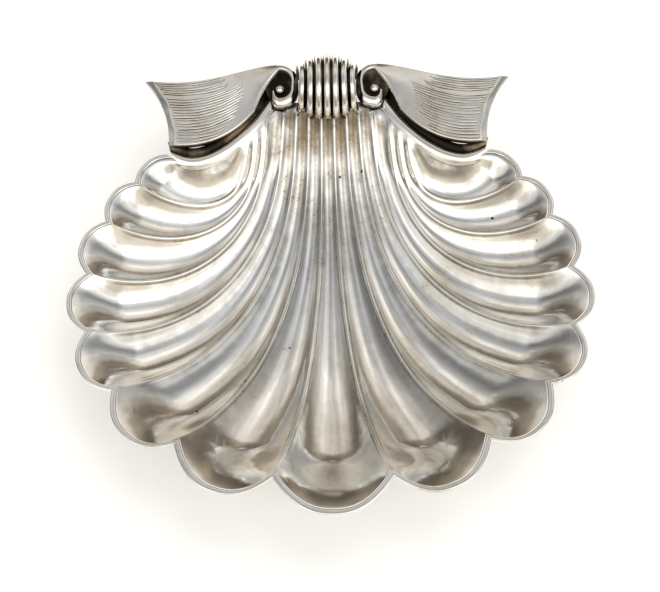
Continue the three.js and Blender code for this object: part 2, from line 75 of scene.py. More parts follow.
# Heights and wall of the bowl
RIM_HEIGHT = 44.0
BOWL_DEPTH = 27.0
BOWL_POWER = 2.4
FLUTE_DEPTH = 0.23
FLUTE_RUNOUT = 0.16
FLUTE_RUNIN = 8.0
CREST_SOFTNESS = 1.7
CHASED_OFFSET = 1.1
CHASED_WIDTH = 0.45
CHASED_DEPTH = 0.16
BACK_WALL_REACH = 20.0
WALL = 1.8
ROW_CROWDING = 1.35

# Shoulder of the bowl
SHOULDER_BEHIND_HINGE = 2.0
SHOULDER_BEND = 11.5
SHOULDER_DROP = 21.5
SHOULDER_END_HANDLE = 18.5
SHOULDER_END_TURN = 6
SHOULDER_INNER = 1.2
SHOULDER_WIDTH = 8.5
BAND_WIDTH = 4.6
BAND_RISE = 1.0

# Rim wire
WIRE_WIDTH = 2.3
WIRE_HEIGHT = 2.6
WIRE_RAISE = 0.4
WIRE_SQUARENESS = 4.0
NOTCH_STRETCH = 1.45

# Ears, right side
EAR_THICKNESS = 3.0
EAR_CORNER_OUT = 1.4
EAR_CORNER_BACK = 5.4
EAR_FLARE = 11.6
EAR_HEIGHT = 33.8
EAR_TOP_SAG = 5.5
EAR_LOWER_SAG = 3.0
EAR_WAIST_OUT = 11.6
EAR_WAIST_DROP = 11.0
NECK_LIFT = 1.0
NECK_REACH = 0.62
TOP_TIP_HANDLE = 0.45
TOP_SCROLL_HANDLE = 0.25
LOWER_WAIST_HANDLE = 0.21
LOWER_WAIST_FALL = 0.65
LOWER_CORNER_HANDLE = 0.46
SIDE_HANDLE = 0.6
EAR_CROWN = 0.6
EAR_EDGE_RADIUS = 0.8
EAR_BEVEL = 2.7
EAR_BEVEL_DROP = 1.5
EAR_BEVEL_WAVE = 0.45

# Engraving of the ears
ENGRAVED_LINES = 24
ENGRAVED_PLAIN_LINE = 17
ENGRAVED_DEPTH = 0.36
ENGRAVED_WIDTH = 0.2
ENGRAVED_ENDS = (0.36, 0.9, -0.66)
ENGRAVED_TOP_END = 0.57

# Scrolls, right side
SCROLL_FROM_RIBS = 10.0
SCROLL_BEHIND_HINGE = 5.0
SCROLL_TOP = 13.2
SCROLL_INNER = 8.6
SCROLL_BOTTOM = 9.2
SCROLL_END = 4.4
SCROLL_TURNS = 0.68
RIBBON_WIDTH = 4.0
RIBBON_BOTTOM_WIDTH = 4.6
RIBBON_END_WIDTH = 1.6
RIBBON_CROWN = 1.5
RIBBON_CREST = 0.3
SCROLL_FLOOR = 1.2
SCROLL_RAMP = 1.3
BEAD_RADIUS = 2.1
BEAD_RISE = 1.4

# Knob and binding ribs
KNOB_BEHIND_HINGE = 6.9
RIB_COUNT = 7
RIB_TIP_PITCH = 4.0
RIB_TOP_PITCH = 3.8
RIB_BACK_PITCH = 4.25
RIB_GAP = 0.75
RIB_THICKNESS = 2.4
RIB_SQUARENESS = 2.5
RIB_BULB = 0.08
KNOB_RADIUS = 16.3
KNOB_SIDE_LOSS = 5.5
RIB_TIP_RISE = 1.2
RIB_BACK_DROP = 9.0
CORE_LIP = 0.6

# Feet
FOOT_RADIUS = 7.0
FOOT_PAD_RADIUS = 4.5
FOOT_BASE_RADIUS = 3.6
FOOT_COLLAR = 1.0

CLEARANCE = 0.3

# Places that several pieces share
RIB_HALF_SPAN = RIB_TIP_PITCH * (RIB_COUNT - 1) / 2
RIB_TIP_HEIGHT = RIM_HEIGHT + RIB_TIP_RISE
KNOB_Y = HINGE_Y + KNOB_BEHIND_HINGE
SCROLL_X = RIB_HALF_SPAN + SCROLL_FROM_RIBS
SCROLL_Y = HINGE_Y + SCROLL_BEHIND_HINGE
EAR_BOTTOM = RIM_HEIGHT + max(WIRE_RAISE, BAND_RISE) + CLEARANCE
EAR_TOP = EAR_BOTTOM + EAR_THICKNESS

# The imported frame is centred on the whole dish; the shape values are centred on the rim.
Y_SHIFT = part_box("binding_rib_4")[1][1] / METRES - (KNOB_Y + KNOB_RADIUS)

# Fineness
ROWS = 150
STEPS_ACROSS = 28
SHOULDER_ROWS = 160
SHOULDER_STEPS = 44
WIRE_SIDES = 20
EAR_ROWS = 220
SCROLL_ROWS = 120
EAR_STEPS = 216
ARCH_STEPS = 81
CORE_SLICES = 41
RIB_SIDES = 24
ROUND_STEPS = 64
FLOOR_RINGS = 12

# Camera
CAMERA_ELEVATION = math.radians(67)
CAMERA_ROLL = math.radians(0.9)
CAMERA_DISTANCE = 0.95
LENS = 115.9
IMAGE_WIDTH = 660
TARGET_PIXEL_SHIFT = (0.5, 4.0)

# Stage
FLOOR_SIZE = 4.0
FLOOR_GAP = 0.0002
FLOOR_COLOUR = (0.87, 0.865, 0.85)
FLOOR_LIFT = 0.3
LAMP_PLACE = (0.3, 0.55, 1.5)
LAMP_SIZE = 1.3
LAMP_POWER = 9.0
LAMP_COLOUR = (1.0, 0.985, 0.96)
SIDE_CARDS = 0.5

# Light that the silver reflects, by the angle from overhead in degrees; the front is positive
SKY = (
    (-100, (0.10, 0.085, 0.065)),
    (-84, (0.12, 0.10, 0.075)),
    (-68, (0.24, 0.205, 0.16)),
    (-52, (0.62, 0.58, 0.52)),
    (-36, (0.74, 0.72, 0.68)),
    (-24, (0.56, 0.56, 0.55)),
    (-8, (0.40, 0.41, 0.43)),
    (6, (0.52, 0.53, 0.54)),
    (20, (1.15, 1.15, 1.12)),
    (34, (1.45, 1.43, 1.38)),
    (50, (1.10, 1.07, 1.0)),
    (62, (0.62, 0.57, 0.49)),
    (78, (0.38, 0.34, 0.28)),
    (100, (0.30, 0.26, 0.2)),
)
SKY_SCALE = 0.5

# Colours of the silver
BRIGHT_SILVER = (0.90, 0.885, 0.85)
WARM_SILVER = (0.74, 0.70, 0.635)
# Brown and near-black: tarnish, and also painted shade where the mesh attribute marks shade
BROWN_TARNISH_AND_SHADE = (0.21, 0.16, 0.10)
BLACK_TARNISH_AND_SHADE = (0.02, 0.017, 0.013)


def mix(a, b, t):
    return a + (b - a) * t


def smooth(t):
    t = np.clip(t, 0.0, 1.0)
    return t * t * (3 - 2 * t)


def bezier(points, t):
    """A quadratic or cubic Bezier curve in the plane at the values t."""
    t = np.asarray(t)[:, None]
    points = [np.asarray(p, float) for p in points]
    while len(points) > 1:
        points = [a * (1 - t) + b * t for a, b in zip(points, points[1:])]
    return points[0]


def directions(points):
    """Unit vectors along a polyline in the plane."""
    along = np.gradient(points, axis=0)
    return along / np.linalg.norm(along, axis=1)[:, None]


def even_steps(points, count):
    """The same polyline in count points at even distances."""
    distance = np.concatenate([[0], np.cumsum(np.hypot(*np.diff(points, axis=0).T))])
    wanted = np.linspace(0, distance[-1], count)
    return np.column_stack([np.interp(wanted, distance, points[:, i]) for i in range(2)])


# Plan of the bowl

def junction_angle(k):
    return CENTRE_LOBE_ANGLE / 2 + sum(CENTRE_LOBE_ANGLE - LOBE_ANGLE_STEP * j for j in range(1, k + 1))


def junction(k):
    t = math.radians(junction_angle(k))
    reach = RIM_FRONT_REACH if math.cos(t) > 0 else RIM_BACK_REACH
    return np.array([RIM_HALF_WIDTH * math.sin(t), -reach * math.cos(t)])


def end_direction(k):
    t = junction_angle(k)
    turn = math.radians(t * (RIDGE_TURN + RIDGE_EARLY_TURN * math.exp(-t / RIDGE_EARLY_FADE)))
    return np.array([math.sin(turn), -math.cos(turn)])


def shoulder_points(w):
    """Inner edge of the right shoulder, from below the scroll to the last junction of the rim."""
    start = np.array([SCROLL_X, HINGE_Y + SHOULDER_BEHIND_HINGE])
    end = junction(LOBES_PER_SIDE)
    leave = start + np.array([SHOULDER_BEND, -SHOULDER_DROP])
    arrive = end - end_direction(LOBES_PER_SIDE) * SHOULDER_END_HANDLE
    return bezier((start, leave, arrive, end), w)


def shoulder_place(k):
    return SHOULDER_FIRST_START + SHOULDER_START_STEP * (k - HINGE_RIDGES)


def ridge(n, u):
    """Points of ridge n at u, from the hinge to the rim; n runs from -8 to 8 without 0."""
    k = abs(n) - 1
    side = 1 if n > 0 else -1
    if k == LOBES_PER_SIDE:
        plan = shoulder_points(mix(shoulder_place(k), 1, u))
        return np.column_stack([side * plan[:, 0], plan[:, 1], np.full(len(u), RIM_HEIGHT)])
    if k < HINGE_RIDGES:
        start = np.array([HINGE_PITCH * (k + 0.5), HINGE_Y])
    else:
        start = shoulder_points([shoulder_place(k)])[0]
    end = junction(k)
    span = np.linalg.norm(end - start)
    hold = START_HANDLE + START_HANDLE_GAIN * (k / LOBES_PER_SIDE) ** 3
    leave = start + np.array([0, -span * hold])
    arrive = end - end_direction(k) * span * END_HANDLE
    curve = (start, leave, arrive, end)
    plan = bezier(curve, u)
    fine = bezier(curve, np.linspace(0, 1, ROWS))
    length = np.hypot(*np.diff(fine, axis=0).T).sum()
    reach = np.where(plan[:, 1] < 0, RIM_FRONT_REACH, RIM_BACK_REACH)
    basin = np.minimum(1, np.hypot(plan[:, 0] / RIM_HALF_WIDTH, plan[:, 1] / reach))
    floor = RIM_HEIGHT - BOWL_DEPTH * (1 - basin ** BOWL_POWER)
    wall = np.maximum(0, 1 - u * length / BACK_WALL_REACH) ** 2
    return np.column_stack([side * plan[:, 0], plan[:, 1], mix(floor, RIM_HEIGHT, wall)])


def lobe_bulge(chord, k):
    return chord * (LOBE_BULGE - LOBE_BULGE_LOSS * (k / LOBES_PER_SIDE) ** 4)


def lobe_share(v):
    return 1 - np.abs(v) ** LOBE_FULLNESS


def flute_pairs():
    last = LOBES_PER_SIDE + 1
    return [(n, 1 if n == -1 else n + 1) for n in range(-last, last) if n != 0]


def lobe_number(pair):
    return 0 if pair == (-1, 1) else min(abs(pair[0]), abs(pair[1]))


def flute_surface(pair, u, v):
    """Upper surface of a flute, rows along u and columns along v, with its depth and its chased lines."""
    a, b = ridge(pair[0], u), ridge(pair[1], u)
    across = (b - a)[:, :2]
    chord = np.linalg.norm(across, axis=1)
    outward = np.column_stack([across[:, 1], -across[:, 0]]) / chord[:, None]
    middle = (a + b) / 2
    along = directions(middle[:, :2])
    width = np.abs(across[:, 0] * along[:, 1] - across[:, 1] * along[:, 0])[:, None]
    share = ((v + 1) / 2)[None, :, None]
    points = a[:, None, :] * (1 - share) + b[:, None, :] * share
    swell = (lobe_bulge(chord, lobe_number(pair)) * u ** LOBE_ONSET)[:, None] * lobe_share(v)
    points[:, :, :2] += outward[:, None, :] * swell[:, :, None]
    soft = np.clip(CREST_SOFTNESS / width, 0.01, 0.6)
    hollow = 1 - v ** 2
    hollow = (np.sqrt(hollow ** 2 + soft ** 2) - soft) / (np.sqrt(1 + soft ** 2) - soft)
    runout = smooth((1 - u) / FLUTE_RUNOUT)[:, None]
    runin = smooth(np.linalg.norm(middle - middle[0], axis=1) / FLUTE_RUNIN)[:, None]
    from_crest = (1 - np.abs(v)) * width / 2
    chased = np.exp(-((from_crest - CHASED_OFFSET) / CHASED_WIDTH) ** 2) * runout * runin
    chased = chased * smooth(width / (8 * CHASED_OFFSET) - 0.5)
    points[:, :, 2] -= FLUTE_DEPTH * width * runout * runin * hollow + CHASED_DEPTH * chased
    return points, hollow * runout * runin, chased


# Meshes

def make_piece(name, points, faces, material, node=None, tarnish_and_shade=0.0, crease=50):
    """An object from points in millimetres, that rides on the dish and can stand for a CAD node."""
    mesh = bpy.data.meshes.new(name)
    placed = (np.asarray(points, float) + np.array([0, Y_SHIFT, 0])) * METRES
    mesh.from_pydata(placed.tolist(), [], faces)
    layer = mesh.attributes.new("tarnish_and_shade", "FLOAT", "POINT")
    values = np.broadcast_to(np.asarray(tarnish_and_shade, np.float32).ravel(), len(points))
    layer.data.foreach_set("value", np.ascontiguousarray(values))
    mesh.materials.append(material)
    piece = bpy.data.objects.new(name, mesh)
    bpy.context.scene.collection.objects.link(piece)
    mesh.shade_smooth()
    mesh.set_sharp_from_angle(angle=math.radians(crease))
    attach(piece, "root")
    if node:
        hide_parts(node)
    return piece


def loft(rings):
    """Points and faces of a closed surface through rings of equal counts, zipped shut at both ends."""
    rings = np.asarray(rings, float)
    rows, count = rings.shape[:2]
    index = np.arange(rows * count).reshape(rows, count)
    after = np.roll(index, -1, axis=1)
    quads = np.stack([index[:-1], after[:-1], after[1:], index[1:]], axis=-1).reshape(-1, 4)
    i = np.arange(count // 2 - 1)
    near, far = index[0], index[-1]
    first = np.stack([near[i], near[count - 1 - i], near[count - 2 - i], near[i + 1]], axis=-1)
    last = np.stack([far[i], far[i + 1], far[count - 2 - i], far[count - 1 - i]], axis=-1)
    faces = np.concatenate([quads, first, last])
    points = rings.reshape(-1, 3)
    a, b, c, d = (points[faces[:, j]] for j in range(4))
    volume = (a * np.cross(b, c)).sum() + (a * np.cross(c, d)).sum()
    if volume < 0:
        faces = faces[:, ::-1]
    return points, faces.tolist()


def sheet_loft(top, thickness):
    """A closed sheet below an upper surface of rows and columns."""
    under = top[:, ::-1] - np.array([0, 0, thickness])
    return loft(np.concatenate([top, under], axis=1))


def turned(profile):
    """Points and faces of a solid of revolution from radius and height pairs."""
    angle = np.linspace(0, 2 * math.pi, ROUND_STEPS, endpoint=False)
    circle = np.column_stack([np.cos(angle), np.sin(angle), np.zeros(ROUND_STEPS)])
    return loft([circle * r + np.array([0, 0, z]) for r, z in profile])


# Material

def add_node(tree, kind, links=None, **values):
    """A node with its named settings; links give its inputs a value or a socket."""
    node = tree.nodes.new(kind)
    for key, value in values.items():
        setattr(node, key, value)
    for key, value in (links or {}).items():
        socket = node.inputs[key]
        if isinstance(value, bpy.types.NodeSocket):
            tree.links.new(value, socket)
        else:
            socket.default_value = value
    return node


def noise(tree, vector, scale, detail=4.0, roughness=0.55):
    links = {"Vector": vector, "Scale": scale, "Detail": detail, "Roughness": roughness}
    return add_node(tree, "ShaderNodeTexNoise", links).outputs["Fac"]


def between(tree, value, low, high, to_low=0.0, to_high=1.0):
    links = {"Value": value, "From Min": low, "From Max": high, "To Min": to_low, "To Max": to_high}
    return add_node(tree, "ShaderNodeMapRange", links, interpolation_type="SMOOTHSTEP").outputs["Result"]


def calc(tree, operation, a, b=0.0, c=0.0):
    return add_node(tree, "ShaderNodeMath", {0: a, 1: b, 2: c}, operation=operation).outputs[0]


def blend_colour(tree, factor, a, b):
    made = add_node(tree, "ShaderNodeMix", {"Factor": factor}, data_type="RGBA")
    for socket, value in ((made.inputs[6], a), (made.inputs[7], b)):
        if isinstance(value, bpy.types.NodeSocket):
            tree.links.new(value, socket)
        else:
            socket.default_value = (*value, 1.0)
    return made.outputs[2]


def silver_material(name, tarnish_level, roughness):
    """Worn silver: a mesh attribute and noise place tarnish and painted shade, in brown and near-black."""
    material = bpy.data.materials.new(name)
    material.use_nodes = True
    tree = material.node_tree
    tree.nodes.clear()
    place = add_node(tree, "ShaderNodeTexCoord").outputs["Object"]
    tarnish_and_shade = add_node(tree, "ShaderNodeAttribute", attribute_name="tarnish_and_shade").outputs["Fac"]
    clouds = noise(tree, place, 38.0, 6.0, 0.62)
    haze = between(tree, clouds, 0.4, 0.72)
    film = calc(tree, "MULTIPLY", between(tree, noise(tree, place, 420.0, 5.0, 0.7), 0.5, 0.74), haze)
    # Tarnish and painted shade from the mesh attribute, with a random tarnish film, turn brown and then
    # near-black
    stain_and_shade = calc(tree, "MULTIPLY", tarnish_and_shade, between(tree, clouds, 0.3, 0.62, 0.55, 1.1))
    stain_and_shade = calc(tree, "ADD", stain_and_shade, calc(tree, "MULTIPLY", film, tarnish_level))
    brown = between(tree, stain_and_shade, 0.02, 0.6)
    black = between(tree, stain_and_shade, 0.55, 1.0)
    cells = add_node(tree, "ShaderNodeTexVoronoi", {"Vector": place, "Scale": 260.0}).outputs["Distance"]
    chosen = between(tree, noise(tree, place, 75.0, 3.0), 0.64, 0.7)
    pit = calc(tree, "MULTIPLY", between(tree, cells, 0.26, 0.12), chosen)
    stretch = {"Vector": place, "Scale": (900.0, 70.0, 300.0), "Rotation": (0.3, 0.2, 0.9)}
    streaks = add_node(tree, "ShaderNodeMapping", stretch).outputs["Vector"]
    scratch = between(tree, noise(tree, streaks, 1.0, 3.0), 0.6, 0.74)
    colour = blend_colour(tree, haze, BRIGHT_SILVER, WARM_SILVER)
    colour = blend_colour(tree, brown, colour, BROWN_TARNISH_AND_SHADE)
    colour = blend_colour(tree, calc(tree, "MAXIMUM", black, pit), colour, BLACK_TARNISH_AND_SHADE)
    rough = between(tree, clouds, 0.3, 0.7, roughness * 0.75, roughness * 1.3)
    rough = calc(tree, "ADD", rough, calc(tree, "MULTIPLY", brown, 0.15))
    rough = calc(tree, "ADD", rough, calc(tree, "MULTIPLY", scratch, 0.1))
    height = noise(tree, place, 55.0, 2.0)
    height = calc(tree, "ADD", height, calc(tree, "MULTIPLY", scratch, -0.03))
    height = calc(tree, "ADD", height, calc(tree, "MULTIPLY", pit, -0.2))
    bump = add_node(tree, "ShaderNodeBump", {"Height": height, "Strength": 0.3, "Distance": 0.001})
    links = {"Base Color": colour, "Roughness": rough, "Metallic": 1.0, "Normal": bump.outputs["Normal"]}
    shader = add_node(tree, "ShaderNodeBsdfPrincipled", links)
    output = add_node(tree, "ShaderNodeOutputMaterial")
    tree.links.new(shader.outputs["BSDF"], output.inputs["Surface"])
    return material


# Bowl

def fluted_sheet():
    u = 1 - (1 - np.linspace(0, 1, ROWS + 1)) ** ROW_CROWDING
    v = np.sin(np.linspace(-1, 1, STEPS_ACROSS + 1) * math.pi / 2)
    tops, depths, lines = [], [], []
    for number, pair in enumerate(flute_pairs()):
        first = 1 if number else 0
        points, hollow, chased = flute_surface(pair, u, v)
        tops.append(points[:, first:])
        depths.append(hollow[:, first:])
        lines.append(chased[:, first:])
    top = np.concatenate(tops, axis=1)
    # Darker near the hinge, most in the hollows: painted shadow under the knob, with tarnish.
    # The chased lines are darker: tarnish and painted shade. The underside is a little darker.
    knob_shadow_and_tarnish = np.exp(-(HINGE_Y - top[:, :, 1]) / 26.0) * np.exp(-(top[:, :, 0] / 42.0) ** 2)
    hollow = np.concatenate(depths, axis=1)
    tarnish_and_shade = knob_shadow_and_tarnish * (0.25 + 0.75 * hollow) + 0.4 * np.concatenate(lines, axis=1)
    points, faces = sheet_loft(top, WALL)
    tarnish_and_shade = np.concatenate([np.clip(tarnish_and_shade, 0, 1), np.full(tarnish_and_shade.shape, 0.2)], axis=1)
    return points, faces, tarnish_and_shade.ravel()


def shoulder_sheet(side):
    w = np.linspace(0, 1, SHOULDER_ROWS)
    inner = shoulder_points(w)
    along = directions(inner)
    corner = np.array([EAR_CORNER_OUT, EAR_CORNER_BACK]) / math.hypot(EAR_CORNER_OUT, EAR_CORNER_BACK)
    turn = (w ** SHOULDER_END_TURN)[:, None]
    across = mix(np.column_stack([-along[:, 1], along[:, 0]]), corner, turn)
    across /= np.linalg.norm(across, axis=1)[:, None]
    d = np.linspace(-SHOULDER_INNER, SHOULDER_WIDTH, SHOULDER_STEPS)
    band = BAND_RISE * np.sin(np.pi * np.clip(d / BAND_WIDTH, 0, 1))
    ledge = BAND_RISE * smooth((d - BAND_WIDTH) / (SHOULDER_WIDTH - BAND_RISE - BAND_WIDTH))
    top = np.zeros((SHOULDER_ROWS, SHOULDER_STEPS, 3))
    top[:, :, :2] = inner[:, None, :] + across[:, None, :] * d[None, :, None]
    top[:, :, 2] = RIM_HEIGHT + np.minimum(d, 0) + band + ledge
    top[:, :, 0] *= side
    points, faces = sheet_loft(top, WALL)
    # Painted shadow of the ear: the shoulder darkens beyond the band, under the ear's lower edge; the underside
    # is a little darker
    painted_ear_shadow = np.broadcast_to(smooth((d - 0.75 * BAND_WIDTH) / (0.3 * BAND_WIDTH)), top.shape[:2])
    tarnish_and_shade = np.concatenate([painted_ear_shadow, np.full(top.shape[:2], 0.2)], axis=1)
    return points, faces, tarnish_and_shade.ravel()


def bowl_piece(material):
    points, faces, tarnish_and_shade = fluted_sheet()
    for side in (1, -1):
        more_points, more_faces, more_tarnish_and_shade = shoulder_sheet(side)
        faces = faces + (np.array(more_faces) + len(points)).tolist()
        points = np.concatenate([points, more_points])
        tarnish_and_shade = np.concatenate([tarnish_and_shade, more_tarnish_and_shade])
    make_piece("bowl_flutes", points, faces, material, "shell_bowl", tarnish_and_shade)


# Rim

def rim_point(pair, v, margin):
    corners = []
    for n in pair:
        point = junction(abs(n) - 1) + end_direction(abs(n) - 1) * margin * NOTCH_STRETCH
        corners.append(point * np.array([1 if n > 0 else -1, 1]))
    a, b = corners
    across = b - a
    chord = np.linalg.norm(across)
    swell = (lobe_bulge(chord, lobe_number(pair)) - margin * (NOTCH_STRETCH - 1)) * lobe_share(v)
    outward = np.array([across[1], -across[0]]) / chord
    share = (v + 1) / 2
    return a * (1 - share)[:, None] + b * share[:, None] + outward * swell[:, None]


def squared(turn, power):
    """Cosine and sine of a turn on a rounded square."""
    cosine, sine = np.cos(turn), np.sin(turn)
    reach = (np.abs(cosine) ** power + np.abs(sine) ** power) ** (-1 / power)
    return cosine * reach, sine * reach


def rim_piece(material):
    v = np.sin(np.linspace(-1, 1, STEPS_ACROSS + 1) * math.pi / 2)
    turns = 2 * math.pi * (np.arange(WIRE_SIDES) + 0.5) / WIRE_SIDES
    sides = []
    for cosine, sine in zip(*squared(turns, WIRE_SQUARENESS)):
        margin = CLEARANCE + WIRE_WIDTH / 2 * (1 + cosine)
        height = RIM_HEIGHT + WIRE_RAISE - WIRE_HEIGHT / 2 * (1 - sine)
        lobes = [rim_point(pair, v, margin)[min(i, 1):] for i, pair in enumerate(flute_pairs())]
        plan = np.concatenate(lobes)
        sides.append(np.column_stack([plan, np.full(len(plan), height)]))
    points, faces = loft(np.stack(sides, axis=1))
    make_piece("rim_band", points, faces, material, "rim_wire", 0.05)


# Ears

def scroll_reach(turn):
    first = mix(SCROLL_TOP, SCROLL_INNER, smooth(turn / 0.25))
    second = mix(SCROLL_INNER, SCROLL_BOTTOM, smooth((turn - 0.25) / 0.25))
    third = mix(SCROLL_BOTTOM, SCROLL_END, smooth((turn - 0.5) / (SCROLL_TURNS - 0.5)))
    return np.where(turn < 0.25, first, np.where(turn < 0.5, second, third))


def ribbon_width(turn):
    first = mix(RIBBON_WIDTH, RIBBON_BOTTOM_WIDTH, smooth((turn - 0.25) / 0.25))
    last = mix(RIBBON_BOTTOM_WIDTH, RIBBON_END_WIDTH, smooth((turn - 0.5) / (SCROLL_TURNS - 0.5)))
    return np.where(turn < 0.5, first, last)


def scroll_points(turn, inset):
    reach = scroll_reach(turn) - inset
    angle = 2 * math.pi * turn
    return np.column_stack([SCROLL_X - reach * np.sin(angle), SCROLL_Y + reach * np.cos(angle)])


def ear_grid():
    """Plan of the right ear and its scroll: rows from the outer side to the scroll's end, lower edge first."""
    turn = np.linspace(0, SCROLL_TURNS, SCROLL_ROWS)
    outer = scroll_points(turn, 0.0)
    inner = scroll_points(turn, ribbon_width(turn))
    corner = junction(LOBES_PER_SIDE) + np.array([EAR_CORNER_OUT, EAR_CORNER_BACK])
    tip = corner + np.array([EAR_FLARE, EAR_HEIGHT])
    waist = np.array([SCROLL_X + EAR_WAIST_OUT, SCROLL_Y - EAR_WAIST_DROP])
    fine = np.linspace(0, 1, EAR_ROWS)
    top_handles = (
        (mix(tip[0], SCROLL_X, TOP_TIP_HANDLE), tip[1] - EAR_TOP_SAG),
        (mix(SCROLL_X, tip[0], TOP_SCROLL_HANDLE), outer[0, 1]),
    )
    lower_handles = (
        (mix(corner[0], waist[0], LOWER_CORNER_HANDLE), corner[1] - EAR_LOWER_SAG),
        (mix(waist[0], corner[0], LOWER_WAIST_HANDLE), mix(waist[1], corner[1], LOWER_WAIST_FALL)),
    )
    neck_handle = (mix(SCROLL_X, waist[0], NECK_REACH), SCROLL_Y + NECK_LIFT)
    top = bezier((tip, *top_handles, outer[0]), fine)
    lower = bezier((corner, *lower_handles, waist), fine)
    neck = bezier((waist, neck_handle, inner[0]), fine)
    below = np.concatenate([even_steps(np.concatenate([lower, neck[1:]]), EAR_ROWS), inner[1:]])
    above = np.concatenate([even_steps(top, EAR_ROWS), outer[1:]])
    s = np.linspace(0, 1, EAR_STEPS + 1)
    plan = mix(below[:, None, :], above[:, None, :], s[None, :, None])
    t = np.minimum(1, np.arange(len(below)) / (EAR_ROWS - 1))
    side = bezier((corner, (corner[0], mix(corner[1], tip[1], SIDE_HANDLE)), tip), s)
    plan += (side - plan[0])[None, :, :] * ((1 - t) ** 2)[:, None, None]
    return plan, t, s


def engraving(t, s, from_side, random):
    """Depth of the engraved lines, from 0 to 1, on the ear's grid."""
    line = s * ENGRAVED_LINES
    number = np.round(line).astype(int)
    first, second, third = ENGRAVED_ENDS
    ends = first + second * s + third * s ** 2
    ends = np.where(number > ENGRAVED_PLAIN_LINE, ENGRAVED_TOP_END, ends)
    ends = ends + random.uniform(-0.03, 0.03, ENGRAVED_LINES + 1)[number]
    strength = random.uniform(0.55, 1.0, ENGRAVED_LINES + 1)
    strength[[0, ENGRAVED_PLAIN_LINE, ENGRAVED_LINES]] = 0.0
    starts = random.uniform(0.0, 1.5, ENGRAVED_LINES + 1)[number]
    waves = random.uniform(0.0, 2 * math.pi, ENGRAVED_LINES + 1)[number]
    wander = 0.1 * np.sin(9.0 * t[:, None] + waves) + 0.05 * np.sin(31.0 * t[:, None] + 2 * waves)
    groove = np.exp(-((line - number + wander) / ENGRAVED_WIDTH) ** 2) * strength[number]
    shown = smooth((ends - t[:, None]) / 0.04) * smooth((from_side - EAR_BEVEL - starts) / 0.8)
    return groove * shown * (0.8 + 0.2 * np.sin(23.0 * t[:, None] + 3 * waves))


def ear_piece(side, material, random):
    plan, t, s = ear_grid()
    width = np.linalg.norm(plan[:, -1] - plan[:, 0], axis=1)[:, None]
    rounding = np.minimum(EAR_EDGE_RADIUS, width / 2)
    inset = np.clip(np.minimum(s, 1 - s) * width, 0, rounding)
    drop = rounding - np.sqrt(np.maximum(0, rounding ** 2 - (rounding - inset) ** 2))
    from_side = np.linalg.norm(plan - plan[:1], axis=2)
    bevel = EAR_BEVEL + EAR_BEVEL_WAVE * np.sin(4.5 * math.pi * s)
    drop = drop + EAR_BEVEL_DROP * np.clip(1 - from_side / bevel, 0, 1)
    ribbon = smooth((t - 0.6) / 0.4)[:, None]
    crest = np.where(s < RIBBON_CREST, s / RIBBON_CREST, (1 - s) / (1 - RIBBON_CREST))
    crown = RIBBON_CROWN * ribbon * np.sin(crest * math.pi / 2) + EAR_CROWN * (1 - ribbon) * np.sin(math.pi * s)
    cut = engraving(t, s, from_side, random)
    top = np.dstack([plan, EAR_TOP - drop + crown - ENGRAVED_DEPTH * cut])
    under = np.dstack([plan, np.full(cut.shape, EAR_BOTTOM)])[:, ::-1]
    rings = np.concatenate([top, under], axis=1)
    rings[:, :, 0] *= side
    points, faces = loft(rings)
    # Tarnish in the engraved lines; painted shade along the ear's lower edge and over its underside and side
    # faces
    edge = smooth(1 - s * width / 0.5) * smooth((0.8 - t) / 0.2)[:, None]
    tarnish_and_shade = np.concatenate([np.clip(cut + 0.5 * edge, 0, 1), np.full(cut.shape, 0.9)], axis=1)
    label = "right" if side > 0 else "left"
    name = "ear_engraved_" + label
    make_piece(name, points, faces, material, "ear_" + label, tarnish_and_shade, 60)


def scroll_floor_piece(side, material):
    """The hollow inside a scroll: a near-black floor of painted shade, which rises towards the ear."""
    half_width = SCROLL_INNER - RIBBON_WIDTH / 2
    half_length = (SCROLL_TOP + SCROLL_BOTTOM - RIBBON_WIDTH) / 2
    middle = SCROLL_Y + (SCROLL_TOP - SCROLL_BOTTOM) / 2
    angle = np.linspace(0, 2 * math.pi, ROUND_STEPS, endpoint=False)
    floor = EAR_BOTTOM + SCROLL_FLOOR
    rings = []
    for reach in np.linspace(0.01, 1, FLOOR_RINGS):
        x = half_width * reach * np.cos(angle)
        height = floor + SCROLL_RAMP * smooth(x / half_width) * reach
        rings.append(np.column_stack([SCROLL_X + x, middle + half_length * reach * np.sin(angle), height]))
    rings.append(rings[-1] * np.array([1, 1, 0]) + np.array([0, 0, EAR_BOTTOM + CLEARANCE]))
    rings = np.array(rings)
    rings[:, :, 0] *= side
    points, faces = loft(rings)
    label = "right" if side > 0 else "left"
    # Painted shade, lightening a little towards the ear
    tarnish_and_shade = np.clip(1.3 - 0.09 * np.maximum(0, np.abs(points[:, 0]) - SCROLL_X), 0, 1)
    make_piece("scroll_shade_floor_" + label, points, faces, material, None, tarnish_and_shade)


def bead_piece(side, material):
    bottom = EAR_BOTTOM + SCROLL_FLOOR + CLEARANCE
    middle = EAR_TOP + BEAD_RISE - BEAD_RADIUS
    profile = [(BEAD_RADIUS, bottom)]
    for angle in np.linspace(0, math.radians(88), ROUND_STEPS // 3):
        profile.append((BEAD_RADIUS * math.cos(angle), middle + BEAD_RADIUS * math.sin(angle)))
    points, faces = turned(profile)
    points = points + np.array([side * SCROLL_X, SCROLL_Y, 0])
    label = "right" if side > 0 else "left"
    # Painted shade on the bead's lower part, deepest at its foot
    tarnish_and_shade = np.clip((middle + BEAD_RADIUS / 3 - points[:, 2]) / BEAD_RADIUS, 0.05, 0.9)
    name = "scroll_button_" + label
    make_piece(name, points, faces, material, "scroll_bead_" + label, tarnish_and_shade)


# Knob

